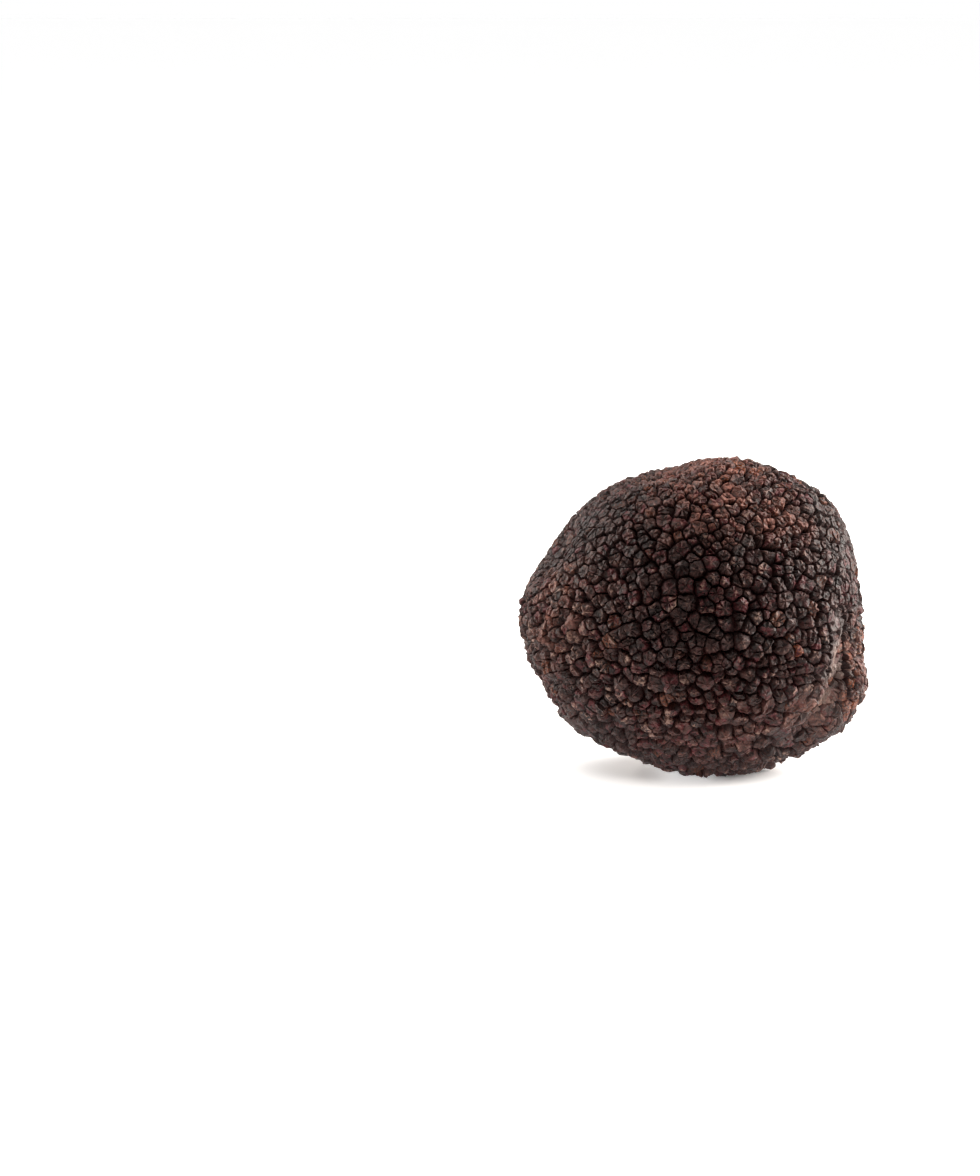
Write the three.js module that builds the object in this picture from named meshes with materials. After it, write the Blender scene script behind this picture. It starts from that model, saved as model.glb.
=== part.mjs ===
// A black truffle: one irregular, rounded fruit body covered all over in low polygonal warts.
// Millimetres, +Z up. Seen from -Y, +X is to the right. The origin is the bottom centre of the body's box.
// The body is a star-shaped lump: an ellipsoid, raised and lowered by a few named swellings and furrows.
// The warts are the cells of a power diagram on that lump. Each wart is a low pyramid: its corners lie down
// in the grooves that it shares with its neighbours, and its tip stands up near the middle of the cell.
import * as THREE from "three";
import { ConvexHull } from "three/addons/math/ConvexHull.js";

// Half lengths of the plain ellipsoid inside the lump.
const HALF_WIDTH = 25.4;
const HALF_DEPTH = 22.8;
const HALF_HEIGHT = 23.45;

// Broad swellings (rise above 0) and flats or hollows (rise below 0). towards is the direction from the
// centre, rise is in millimetres along it, and spread is the angle in degrees over which it fades.
const SWELLINGS = [
  { name: "nose", towards: [-1, -0.1, 0], rise: 2.3, spread: 26 },
  { name: "left shoulder", towards: [-0.68, -0.1, 0.72], rise: -0.7, spread: 22 },
  { name: "left flat", towards: [-0.91, -0.1, 0.4], rise: -3.2, spread: 13 },
  { name: "saddle", towards: [-0.22, 0, 0.97], rise: -2.3, spread: 14 },
  { name: "crown", towards: [0.24, 0, 0.97], rise: 0.8, spread: 20 },
  { name: "right shoulder", towards: [0.74, -0.1, 0.66], rise: 2.2, spread: 22 },
  { name: "right flat", towards: [1, -0.1, 0.1], rise: -0.6, spread: 16 },
  { name: "right dimple", towards: [0.97, -0.1, -0.18], rise: -1.1, spread: 12 },
  { name: "right haunch", towards: [0.86, -0.15, -0.5], rise: 3.9, spread: 24 },
  { name: "right heel", towards: [0.7, -0.1, -0.72], rise: 0.7, spread: 9 },
  { name: "keel", towards: [0.18, 0, -0.98], rise: 2.9, spread: 30 },
  { name: "left haunch", towards: [-0.7, -0.1, -0.7], rise: 1.7, spread: 20 },
  { name: "heel flat", towards: [-0.4, -0.1, -0.91], rise: -0.4, spread: 14 },
  { name: "front belly", towards: [-0.05, -1, -0.15], rise: 1.2, spread: 34 },
  { name: "back swell", towards: [0.35, 0.9, 0.3], rise: 2.2, spread: 30 },
  { name: "back hollow", towards: [-0.5, 0.8, -0.15], rise: -2.4, spread: 20 },
  { name: "back haunch", towards: [-0.2, 0.85, -0.5], rise: 1.4, spread: 20 },
];

// Furrows: valleys that run along a short arc. through is the direction of the middle, along is the way it
// runs there, depth is in millimetres, and length and width are half angles in degrees.
const FURROWS = [
  {
    name: "right fold",
    through: [0.79, -0.46, -0.38],
    along: [0.1, 0.1, 1],
    depth: 2.0,
    length: 22,
    width: 5.5,
  },
  {
    name: "front crease",
    through: [0.55, -0.78, -0.3],
    along: [1, 0.6, 0.12],
    depth: 1.1,
    length: 9,
    width: 3.5,
  },
  {
    name: "back fold",
    through: [-0.42, 0.84, 0.34],
    along: [0.7, 0.2, 0.6],
    depth: 1.8,
    length: 20,
    width: 5,
  },
  {
    name: "under fold",
    through: [-0.5, 0.2, -0.85],
    along: [0.5, 1, -0.1],
    depth: 1.3,
    length: 18,
    width: 5,
  },
];

// Warts: the radius of the circle round which each one is packed, from the first placed to the last.
const LARGEST_WART = 1.1;
const SMALLEST_WART = 0.46;
const DARTS = 30000;
const SEED = 20471;
// The warts are coarser towards this side, by this share either way.
const COARSE_SIDE = new THREE.Vector3(0.35, -0.7, -0.6).normalize();
const COARSENESS = 0.16;
const GROOVE_DEPTH = 0.4;
const LEAST_TIP_RISE = 0.12;
const TIP_RISE_PER_RADIUS = 0.27;
// Groove corners nearer to each other than this are one corner.
const SHORTEST_GROOVE = 0.16;

// The flat spot that the body rests on is one large worn cell, where the body is pressed flat at this level.
const FOOT_TOWARDS = new THREE.Vector3(0.14, 0, -1).normalize();
const FOOT_RADIUS = 5.4;
const FOOT_LEVEL = -24.85;
// The warts fade in over this far beyond the worn cell.
const FOOT_FADE = 3.2;

const SKIN_COLOUR = 0x413330;
const SKIN_ROUGHNESS = 0.72;

// A stream of even numbers from 0 to 1, the same each time for one seed.
function randomStream(seed) {
  let state = seed >>> 0;
  return () => {
    state = (state + 0x6d2b79f5) >>> 0;
    let mixed = Math.imul(state ^ (state >>> 15), state | 1);
    mixed ^= mixed + Math.imul(mixed ^ (mixed >>> 7), mixed | 61);
    return ((mixed ^ (mixed >>> 14)) >>> 0) / 4294967296;
  };
}

const unit = (xyz) => new THREE.Vector3(...xyz).normalize();

// A swelling's height at a direction: rise times exp(-(1 - cos angle) / (1 - cos spread)).
const swellings = SWELLINGS.map(({ towards, rise, spread }) => {
  const axis = unit(towards);
  const fade = 1 - Math.cos(THREE.MathUtils.degToRad(spread));
  return (u) => rise * Math.exp((axis.dot(u) - 1) / fade);
});

// A furrow's depth at a direction: a Gaussian across the arc times a Gaussian along it.
const furrows = FURROWS.map(({ through, along, depth, length, width }) => {
  const middle = unit(through);
  const run = unit(along).addScaledVector(middle, -unit(along).dot(middle)).normalize();
  const across = new THREE.Vector3().crossVectors(middle, run);
  const halfLength = THREE.MathUtils.degToRad(length);
  const halfWidth = THREE.MathUtils.degToRad(width);
  return (u) => {
    const off = Math.asin(THREE.MathUtils.clamp(u.dot(across), -1, 1)) / halfWidth;
    const on = Math.atan2(u.dot(run), u.dot(middle)) / halfLength;
    return depth * Math.exp(-off * off - on * on);
  };
});

// The lump's radius in the direction u, with no warts.
function bodyRadius(u) {
  const plain = 1 / Math.hypot(u.x / HALF_WIDTH, u.y / HALF_DEPTH, u.z / HALF_HEIGHT);
  const raised = swellings.reduce((sum, at) => sum + at(u), 0);
  const sunk = furrows.reduce((sum, at) => sum + at(u), 0);
  return plain + raised - sunk;
}

const onBody = (u) => u.clone().multiplyScalar(bodyRadius(u));

// Packs circles of many sizes on the lump, the largest first, so that the smaller ones fill the gaps.
// The first circle is the foot.
function packWarts() {
  const random = randomStream(SEED);
  const packed = [{ towards: FOOT_TOWARDS, at: onBody(FOOT_TOWARDS), radius: FOOT_RADIUS }];
  for (let dart = 0; dart < DARTS; dart++) {
    const height = 2 * random() - 1;
    const turn = 2 * Math.PI * random();
    const level = Math.sqrt(1 - height * height);
    const towards = new THREE.Vector3(level * Math.cos(turn), level * Math.sin(turn), height);
    const shrink = Math.sqrt(dart / DARTS);
    const size = LARGEST_WART + (SMALLEST_WART - LARGEST_WART) * shrink;
    const radius = size * (1 + COARSENESS * COARSE_SIDE.dot(towards));
    const at = onBody(towards);
    const free = packed.every((other) => at.distanceTo(other.at) > radius + other.radius);
    if (free) packed.push({ towards, at, radius });
  }
  return packed;
}

// The power diagram of the packed circles. A circle's centre is moved out along its direction by half its
// squared angular radius. The hull of the moved centres joins neighbours, and the outward direction of each
// hull face is the corner where three cells meet. Each side of each cell runs from one corner to the next.
function cellsOf(warts) {
  const lifted = warts.map(({ towards, at, radius }) => {
    const angle = radius / at.length();
    return towards.clone().multiplyScalar(1 + (angle * angle) / 2);
  });
  const cellOf = new Map(lifted.map((point, i) => [point, i]));
  const hull = new ConvexHull().setFromPoints(lifted);
  const cornerOf = new Map(hull.faces.map((face, i) => [face, i]));
  const sides = [];
  for (const face of hull.faces) {
    for (let k = 0; k < 3; k++) {
      const edge = face.getEdge(k);
      const cell = cellOf.get(edge.tail().point);
      sides.push({ cell, from: cornerOf.get(edge.twin.face), to: cornerOf.get(face) });
    }
  }
  return { corners: hull.faces.map((face) => face.normal.clone()), sides };
}

// How far the warts stand up here, from 0 on the foot to 1 away from it.
function relief(at, footAt) {
  return THREE.MathUtils.smoothstep(at.distanceTo(footAt), FOOT_RADIUS, FOOT_RADIUS + FOOT_FADE);
}

// One corner for each group of corners that lie closer together than the shortest groove.
function mergeNearCorners(grooves, sides) {
  const leader = grooves.map((_, i) => i);
  const find = (i) => (leader[i] === i ? i : (leader[i] = find(leader[i])));
  for (const { from, to } of sides) {
    if (grooves[from].distanceTo(grooves[to]) < SHORTEST_GROOVE) leader[find(from)] = find(to);
  }
  return grooves.map((_, i) => grooves[find(i)]);
}

// The tip of each wart, over the middle of its corners. The foot's own tip stays down on the body.
function tipsOf(warts, corners, sides, footAt) {
  const middles = warts.map(() => new THREE.Vector3());
  for (const { cell, to } of sides) middles[cell].add(corners[to]);
  return warts.map(({ radius }, i) => {
    const u = middles[i].normalize();
    const at = onBody(u);
    const rise = LEAST_TIP_RISE + TIP_RISE_PER_RADIUS * radius;
    return i === 0 ? at : at.addScaledVector(u, rise * relief(at, footAt));
  });
}

// The skin: each side of each cell makes one triangle, from the wart's tip to that side's two corners.
function wartySkin() {
  const warts = packWarts();
  const { corners, sides } = cellsOf(warts);
  const footAt = warts[0].at;
  const grooves = corners.map((u) => {
    const at = onBody(u);
    return at.addScaledVector(u, -GROOVE_DEPTH * relief(at, footAt));
  });
  const merged = mergeNearCorners(grooves, sides);
  const tips = tipsOf(warts, corners, sides, footAt);
  const kept = sides.filter(({ from, to }) => merged[from] !== merged[to]);
  return kept.flatMap(({ cell, from, to }) => [tips[cell], merged[from], merged[to]]);
}

// Presses the lowest part flat, and moves the origin to the bottom centre of the box.
function standOnFoot(geometry) {
  const places = geometry.getAttribute("position");
  for (let i = 0; i < places.count; i++) {
    places.setZ(i, Math.max(places.getZ(i), FOOT_LEVEL));
  }
  geometry.computeBoundingBox();
  const middle = geometry.boundingBox.getCenter(new THREE.Vector3());
  geometry.translate(-middle.x, -middle.y, -FOOT_LEVEL);
}

function makeTruffle() {
  const geometry = new THREE.BufferGeometry().setFromPoints(wartySkin());
  standOnFoot(geometry);
  geometry.computeVertexNormals();
  const skin = new THREE.MeshStandardMaterial({
    color: SKIN_COLOUR,
    roughness: SKIN_ROUGHNESS,
    metalness: 0,
  });
  const mesh = new THREE.Mesh(geometry, skin);
  mesh.name = "truffle";
  return mesh;
}

const truffle = new THREE.Group();
truffle.add(makeTruffle());

export default truffle;
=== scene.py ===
"""A whole black truffle on a pale floor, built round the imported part.

The body is the part's own lump, and its skin is made of small polygonal plates. The plates are the part's
warts, packed by the same rule, and the larger ones are parted by shallow cracks. Every plate has a groove
round it, a steep wall, a rounded rim and a top with a pit or a peak. Lengths on the lump are in millimetres,
and the finished mesh is in metres in the row's frame.
"""

import logging
import math
from dataclasses import dataclass, field
from enum import Enum

import bmesh
import bpy
import numpy as np
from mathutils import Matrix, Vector


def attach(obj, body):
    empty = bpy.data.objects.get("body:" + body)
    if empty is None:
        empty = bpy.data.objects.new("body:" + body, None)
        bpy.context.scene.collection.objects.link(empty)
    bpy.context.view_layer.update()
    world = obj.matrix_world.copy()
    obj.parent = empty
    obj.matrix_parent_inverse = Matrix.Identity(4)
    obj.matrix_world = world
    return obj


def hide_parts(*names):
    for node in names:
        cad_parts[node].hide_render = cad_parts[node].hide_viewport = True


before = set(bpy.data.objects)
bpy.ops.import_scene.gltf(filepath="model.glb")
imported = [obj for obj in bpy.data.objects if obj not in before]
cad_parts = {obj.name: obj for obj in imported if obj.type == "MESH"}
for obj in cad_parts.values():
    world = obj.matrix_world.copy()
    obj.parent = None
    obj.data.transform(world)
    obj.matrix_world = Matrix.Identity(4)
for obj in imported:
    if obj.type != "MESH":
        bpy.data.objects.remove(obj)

Array = np.ndarray
Triple = tuple[float, float, float]

NODE = "truffle"
BODY = "root"
MM = 0.001
MEAN_RADIUS = 25.0

log = logging.getLogger("truffle")


def unit(vectors: Array | Triple) -> Array:
    """Each vector divided by its own length.

    Args:
        vectors: one vector, or rows of vectors.

    Returns:
        The same shape, with length 1 along the last axis.
    """
    rows = np.asarray(vectors, float)
    return rows / np.linalg.norm(rows, axis=-1, keepdims=True)


def smoothstep(value: Array, low: float, high: float) -> Array:
    """0 below low, 1 above high, and 3t^2 - 2t^3 between them."""
    t = np.clip((value - low) / (high - low), 0, 1)
    return t * t * (3 - 2 * t)


def even_numbers(seed: int, count: int) -> Array:
    """Even numbers from 0 to 1, the same each time for one seed.

    A 32-bit counter goes up by a fixed odd step, and each of its values is mixed by shifts and products. It
    is the part's own stream, so the warts fall in the same places.

    Args:
        seed: where the counter starts.
        count: how many numbers to draw.

    Returns:
        The numbers, in order.
    """
    mask = np.uint64(0xFFFFFFFF)
    step = np.uint64(0x6D2B79F5)
    state = (np.uint64(seed) + step * np.arange(1, count + 1, dtype=np.uint64)) & mask
    mixed = ((state ^ (state >> np.uint64(15))) * (state | np.uint64(1))) & mask
    again = ((mixed ^ (mixed >> np.uint64(7))) * (mixed | np.uint64(61))) & mask
    mixed ^= (mixed + again) & mask
    return (mixed ^ (mixed >> np.uint64(14))).astype(float) / 2**32


def even_directions(draws: Array) -> Array:
    """Directions spread evenly over the sphere.

    Args:
        draws: rows of two numbers from 0 to 1. The first sets the height and the second the turn about Z.

    Returns:
        One unit vector for each row.
    """
    height = 2 * draws[:, 0] - 1
    turn = 2 * np.pi * draws[:, 1]
    level = np.sqrt(1 - height * height)
    return np.stack([level * np.cos(turn), level * np.sin(turn), height], axis=1)


def tangents(directions: Array) -> tuple[Array, Array]:
    """Two unit vectors square to each direction and to each other.

    Args:
        directions: rows of unit vectors.

    Returns:
        The first and the second tangent of each.
    """
    steep = np.abs(directions[:, 2:]) > 0.9
    helper = np.where(steep, [[1.0, 0.0, 0.0]], [[0.0, 0.0, 1.0]])
    first = unit(np.cross(helper, directions))
    return first, np.cross(directions, first)


@dataclass(frozen=True)
class Ripples:
    """Smooth noise in space: a sum of sine waves that run in random directions."""

    seed: int
    shortest: float
    longest: float
    waves: int = 28

    def at(self, points: Array) -> Array:
        """The sum of the waves' sines, divided so that it mostly stays within -1 to 1.

        Args:
            points: rows of points, in the unit of the wave lengths.

        Returns:
            One value for each point.
        """
        draws = even_numbers(self.seed, 4 * self.waves).reshape(self.waves, 4)
        length = self.shortest * (self.longest / self.shortest) ** draws[:, 2]
        waves = even_directions(draws[:, :2]) * (2 * np.pi / length)[:, None]
        phase = 2 * np.pi * draws[:, 3]
        return np.sin(points @ waves.T + phase).sum(axis=1) / math.sqrt(self.waves)


@dataclass(frozen=True)
class Swelling:
    """A broad bump on the lump, or a flat or hollow where its rise is below 0."""

    name: str
    towards: Triple
    rise: float
    spread: float

    def height(self, directions: Array) -> Array:
        """Rise times exp(-(1 - cos angle) / (1 - cos spread)) at each direction."""
        fade = 1 - math.cos(math.radians(self.spread))
        return self.rise * np.exp((directions @ unit(self.towards) - 1) / fade)


@dataclass(frozen=True)
class Furrow:
    """A valley that runs along a short arc."""

    name: str
    through: Triple
    along: Triple
    depth: float
    length: float
    width: float

    def fall(self, directions: Array) -> Array:
        """Depth times a Gaussian of the angle across the arc, times a Gaussian of the angle along it."""
        middle = unit(self.through)
        run = unit(self.along)
        run = unit(run - (run @ middle) * middle)
        across = np.cross(middle, run)
        off = np.arcsin(np.clip(directions @ across, -1, 1)) / math.radians(self.width)
        on = np.arctan2(directions @ run, directions @ middle) / math.radians(self.length)
        return self.depth * np.exp(-off * off - on * on)


@dataclass(frozen=True)
class Lump:
    """The bare body, in millimetres from its own centre, as in the part."""

    half_lengths: Triple = (25.4, 22.8, 23.45)
    foot_level: float = -24.85
    row_origin: Triple = (-0.774, 0.027, -24.85)
    swellings: tuple[Swelling, ...] = (
        Swelling("nose", (-1, -0.1, 0), 2.3, 26),
        Swelling("left shoulder", (-0.68, -0.1, 0.72), -0.7, 22),
        Swelling("left flat", (-0.91, -0.1, 0.4), -3.2, 13),
        Swelling("saddle", (-0.22, 0, 0.97), -2.3, 14),
        Swelling("crown", (0.24, 0, 0.97), 0.8, 20),
        Swelling("right shoulder", (0.74, -0.1, 0.66), 2.2, 22),
        Swelling("right flat", (1, -0.1, 0.1), -0.6, 16),
        Swelling("right dimple", (0.97, -0.1, -0.18), -1.1, 12),
        Swelling("right haunch", (0.86, -0.15, -0.5), 3.9, 24),
        Swelling("right heel", (0.7, -0.1, -0.72), 0.7, 9),
        Swelling("keel", (0.18, 0, -0.98), 2.9, 30),
        Swelling("left haunch", (-0.7, -0.1, -0.7), 1.7, 20),
        Swelling("heel flat", (-0.4, -0.1, -0.91), -0.4, 14),
        Swelling("front belly", (-0.05, -1, -0.15), 1.2, 34),
        Swelling("back swell", (0.35, 0.9, 0.3), 2.2, 30),
        Swelling("back hollow", (-0.5, 0.8, -0.15), -2.4, 20),
        Swelling("back haunch", (-0.2, 0.85, -0.5), 1.4, 20),
    )
    furrows: tuple[Furrow, ...] = (
        Furrow("right fold", (0.79, -0.46, -0.38), (0.1, 0.1, 1), 2.0, 22, 5.5),
        Furrow("front crease", (0.55, -0.78, -0.3), (1, 0.6, 0.12), 1.1, 9, 3.5),
        Furrow("back fold", (-0.42, 0.84, 0.34), (0.7, 0.2, 0.6), 1.8, 20, 5),
        Furrow("under fold", (-0.5, 0.2, -0.85), (0.5, 1, -0.1), 1.3, 18, 5),
    )

    def surface(self, directions: Array) -> Array:
        """The point of the bare body in each direction: the ellipsoid, plus swellings, less furrows.

        Args:
            directions: rows of unit vectors from the lump's centre.

        Returns:
            Rows of points, in millimetres.
        """
        radius = 1 / np.linalg.norm(directions / np.array(self.half_lengths), axis=1)
        for swelling in self.swellings:
            radius = radius + swelling.height(directions)
        for furrow in self.furrows:
            radius = radius - furrow.fall(directions)
        return directions * radius[:, None]

    def pressed(self, points: Array) -> Array:
        """The points with nothing left below the level of the flat spot."""
        flat = points.copy()
        flat[:, 2] = np.maximum(flat[:, 2], self.foot_level)
        return flat

    def in_row(self, points: Array) -> Array:
        """Points of the lump, moved to the row's origin and turned into metres."""
        return (points - np.array(self.row_origin)) * MM


@dataclass
class Plates:
    """The plates that cover the body: their directions, radii in millimetres, and the wart each is part of.

    bank is k on one side of fissure number k, -k on its other side, and 0 away from the fissures.
    """

    directions: Array
    radii: Array
    wart: Array
    bank: Array


@dataclass(frozen=True)
class Fissure:
    """A long crack in the skin, with a row of plates along each of its banks.

    The plates stand in pairs, one on each side at the same distance, so the groove between them follows the
    line. A crack that isn't deep has a seam for its groove.
    """

    name: str
    through: tuple[Triple, ...]
    deep: bool = True
    spacing: float = 1.5
    radius: float = 0.75

    def banks(self, lump: Lump) -> tuple[Array, Array]:
        """Sets out the plates of the two banks.

        The line runs straight from each of the given directions to the next. Steps of the spacing are marked
        on it, and each bank lies the plate's radius to one side.

        Args:
            lump: the body that it runs on.

        Returns:
            The directions of the plates on one bank, and those on the other.
        """
        knots = unit(self.through)
        at = lump.surface(knots)
        length = np.concatenate([[0], np.cumsum(np.linalg.norm(np.diff(at, axis=0), axis=1))])
        marks = np.linspace(0, length[-1], max(2, round(length[-1] / self.spacing)) + 1)
        line = unit(np.stack([np.interp(marks, length, knots[:, k]) for k in range(3)], axis=1))
        run = np.gradient(line, axis=0)
        sideways = unit(np.cross(line, run)) * (self.radius / MEAN_RADIUS)
        return unit(line + sideways), unit(line - sideways)


@dataclass(frozen=True)
class Packing:
    """How the warts are packed on the lump: the part's own rule, and how the large ones are parted."""

    largest: float = 1.1
    smallest: float = 0.46
    darts: int = 30000
    seed: int = 20471
    coarse_side: Triple = (0.35, -0.7, -0.6)
    coarseness: float = 0.16
    foot_towards: Triple = (0.14, 0, -1)
    foot_radius: float = 5.4
    foot_darts: int = 4000
    foot_seed: int = 77
    parting_seed: int = 311
    whole_below: float = 0.66
    parted_share: float = 0.3
    least_parted: float = 0.35
    third_share: float = 0.55
    fourth_share: float = 0.14
    offsets: tuple[float, ...] = (0.0, 0.5, 0.6, 0.64)
    shares: tuple[float, ...] = (1.0, 0.74, 0.64, 0.56)
    crowding: float = 0.82
    fissures: tuple[Fissure, ...] = (
        Fissure(
            "fold line",
            ((0.87, -0.48, 0.09), (0.89, -0.44, -0.1), (0.87, -0.4, -0.3), (0.84, -0.35, -0.41)),
        ),
        Fissure(
            "long fissure",
            ((0.787, -0.617, -0.005), (0.773, -0.604, -0.194), (0.79, -0.53, -0.32)),
        ),
        Fissure(
            "upper crease",
            ((0.391, -0.898, -0.204), (0.488, -0.854, -0.19), (0.61, -0.777, -0.15)),
            deep=False,
        ),
        Fissure(
            "lower crease",
            ((0.43, -0.86, -0.27), (0.536, -0.79, -0.3), (0.659, -0.697, -0.27)),
            deep=False,
        ),
    )

    def warts(self, lump: Lump) -> tuple[Array, Array]:
        """Packs circles of many sizes on the lump, the largest first, with the foot as the first.

        A dart is kept where its circle is clear of every circle before it. The foot's circle is then taken
        out, and its place is packed again with small worn warts.

        Args:
            lump: the body that they are packed on.

        Returns:
            The directions of the warts, and their radii in millimetres.
        """
        foot = unit(self.foot_towards)[None]
        draws = even_numbers(self.seed, 2 * self.darts).reshape(-1, 2)
        shrink = np.sqrt(np.arange(self.darts) / self.darts)
        size = self.largest + (self.smallest - self.largest) * shrink
        towards, radii = self._packed(
            lump, foot, np.array([self.foot_radius]), even_directions(draws), size
        )
        draws = even_numbers(self.foot_seed, 2 * self.foot_darts).reshape(-1, 2)
        first, second = tangents(foot)
        reach = self.foot_radius / MEAN_RADIUS * np.sqrt(draws[:, :1])
        turn = 2 * np.pi * draws[:, 1:]
        under = unit(foot + reach * (np.cos(turn) * first + np.sin(turn) * second))
        size = np.linspace(0.9 * self.largest, self.smallest, self.foot_darts)
        return self._packed(lump, towards[1:], radii[1:], under, size)

    def _packed(
        self, lump: Lump, placed: Array, placed_radii: Array, darts: Array, size: Array
    ) -> tuple[Array, Array]:
        """Adds to the placed circles each dart in turn that is clear of all before it.

        Args:
            lump: the body that they are packed on.
            placed: directions of the circles that are there already.
            placed_radii: their radii.
            darts: directions to try, in order.
            size: each dart's radius, before the coarse side makes it larger or smaller.

        Returns:
            The directions and radii of all the circles.
        """
        radii = size * (1 + self.coarseness * (darts @ unit(self.coarse_side)))
        at = lump.surface(darts)
        count = len(placed)
        towards = np.vstack([placed, np.zeros_like(darts)])
        kept_at = np.vstack([lump.surface(placed), np.zeros_like(at)])
        kept_radii = np.concatenate([placed_radii, np.zeros_like(radii)])
        for i in range(len(darts)):
            apart = np.square(kept_at[:count] - at[i]).sum(axis=1)
            if np.all(apart > np.square(kept_radii[:count] + radii[i])):
                towards[count], kept_at[count], kept_radii[count] = darts[i], at[i], radii[i]
                count += 1
        return towards[:count], kept_radii[:count]

    def plates(self, lump: Lump) -> Plates:
        """Parts the larger warts into two, three or four plates set evenly round the wart's middle.

        Args:
            lump: the body that they are packed on.

        Returns:
            The plates.
        """
        towards, radii = self.warts(lump)
        count = len(towards)
        draws = even_numbers(self.parting_seed, 3 * count).reshape(count, 3)
        ease = smoothstep(radii, self.whole_below, self.largest)
        easy = self.least_parted + (1 - self.least_parted) * ease
        parted = draws[:, 0] < self.parted_share * easy
        third, fourth = (draws[:, 1] < share * ease for share in (self.third_share, self.fourth_share))
        parts = 1 + parted * (1 + third + fourth)
        parts = np.where(radii < self.whole_below, 1, parts)
        wart = np.repeat(np.arange(count), parts)
        part = np.arange(len(wart)) - np.repeat(np.cumsum(parts) - parts, parts)
        turn = 2 * np.pi * (draws[wart, 2] + part / parts[wart])
        step = np.array(self.offsets)[parts[wart] - 1] * radii[wart]
        first, second = tangents(towards[wart])
        reach = np.linalg.norm(lump.surface(towards), axis=1)[wart]
        offset = np.cos(turn)[:, None] * first + np.sin(turn)[:, None] * second
        directions = unit(towards[wart] + (step / reach)[:, None] * offset)
        sizes = radii[wart] * np.array(self.shares)[parts[wart] - 1]
        return self._along_fissures(lump, Plates(directions, sizes, wart, np.zeros_like(wart)))

    def _along_fissures(self, lump: Lump, plates: Plates) -> Plates:
        """Sets plates along both banks of each fissure, in place of the plates that crowd them.

        A plate is taken out where it is nearer to a bank's plate than crowding times the sum of their radii.
        The banks' own plates stay.

        Args:
            lump: the body that they lie on.
            plates: the plates before.

        Returns:
            The plates that are left, followed by those of the banks.
        """
        for number, fissure in enumerate(self.fissures, start=1):
            left, right = fissure.banks(lump)
            added = np.vstack([left, right])
            gaps = np.linalg.norm(
                lump.surface(plates.directions)[:, None] - lump.surface(added)[None], axis=2
            )
            keep = np.all(gaps > self.crowding * (plates.radii[:, None] + fissure.radius), axis=1)
            keep |= plates.bank != 0
            banks = np.repeat([number, -number], [len(left), len(right)])
            plates = Plates(
                np.vstack([plates.directions[keep], added]),
                np.concatenate([plates.radii[keep], np.full(len(added), fissure.radius)]),
                np.concatenate([plates.wart[keep], plates.wart.max() + 1 + np.arange(len(added))]),
                np.concatenate([plates.bank[keep], banks]),
            )
        return plates


class Groove(Enum):
    """The four kinds of groove between two plates, in millimetres.

    The first number is how far the bottom lies under the bare body, and the second is how far the plate's rim
    stands back from the middle of the groove.
    """

    CRACK = (0.2, 0.08)
    GROOVE = (0.42, 0.14)
    SEAM = (0.6, 0.27)
    FISSURE = (1.4, 0.55)


@dataclass
class CellMap:
    """Which plates meet where: the power diagram of the plates, as sides that run round each plate.

    A plate's direction is moved out by half its squared angular radius. The hull of the moved points joins
    neighbours, and the outward direction of each of its triangles is a corner where three plates meet.
    """

    corners: Array
    plate: Array
    other: Array
    begin: Array
    end: Array
    twin: Array
    following: Array

    @classmethod
    def of(cls, lump: Lump, plates: Plates) -> "CellMap":
        """Works out the map of these plates.

        Args:
            lump: the body that they lie on.
            plates: their directions and radii.

        Returns:
            The map. Side 3f + k leaves corner k of hull triangle f, and runs with its plate on the left.
        """
        reach = np.linalg.norm(lump.surface(plates.directions), axis=1)
        lifted = plates.directions * (1 + np.square(plates.radii / reach) / 2)[:, None]
        hull = cls._hull(lifted)
        a, b, c = (lifted[hull[:, k]] for k in range(3))
        corners = unit(np.cross(b - a, c - a))
        plate = hull.ravel()
        other = np.roll(hull, -1, axis=1).ravel()
        key = plate * len(lifted) + other
        order = np.argsort(key)
        twin = order[np.searchsorted(key, other * len(lifted) + plate, sorter=order)]
        triangle = np.repeat(np.arange(len(hull)), 3)
        before = 3 * triangle + (np.arange(len(plate)) + 2) % 3
        return cls(corners, plate, other, triangle[twin], triangle, twin, twin[before])

    @staticmethod
    def _hull(points: Array) -> Array:
        """The triangles of the points' convex hull, each with its face outwards.

        Args:
            points: rows of points about the origin.

        Returns:
            Rows of three point numbers.
        """
        mesh = bpy.data.meshes.new("hull")
        mesh.vertices.add(len(points))
        mesh.vertices.foreach_set("co", points.astype(np.float32).ravel())
        shell = bmesh.new()
        shell.from_mesh(mesh)
        bmesh.ops.convex_hull(shell, input=shell.verts[:], use_existing_faces=False)
        shell.to_mesh(mesh)
        shell.free()
        mesh.calc_loop_triangles()
        found = np.zeros(3 * len(mesh.loop_triangles), np.int32)
        mesh.loop_triangles.foreach_get("vertices", found)
        bpy.data.meshes.remove(mesh)
        hull = found.reshape(-1, 3).astype(np.int64)
        a, b, c = (points[hull[:, k]] for k in range(3))
        inward = np.einsum("ij,ij->i", np.cross(b - a, c - a), a + b + c) < 0
        hull[inward] = hull[inward][:, ::-1]
        if len(hull) != 2 * len(points) - 4:
            raise ValueError(f"the hull has {len(hull)} triangles for {len(points)} plates")
        return hull


@dataclass(frozen=True)
class Zone:
    """A stretch of skin that differs from the rest: round a direction, fading over a spread in degrees."""

    towards: Triple
    spread: float
    amount: float

    def at(self, directions: Array) -> Array:
        """Amount times exp(-(1 - cos angle) / (1 - cos spread)) at each direction."""
        fade = 1 - math.cos(math.radians(self.spread))
        return self.amount * np.exp((directions @ unit(self.towards) - 1) / fade)


def most(zones: tuple[Zone, ...], directions: Array) -> Array:
    """The largest of the zones' amounts at each direction, and never over 1."""
    return np.minimum(np.max([zone.at(directions) for zone in zones], axis=0), 1)


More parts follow.
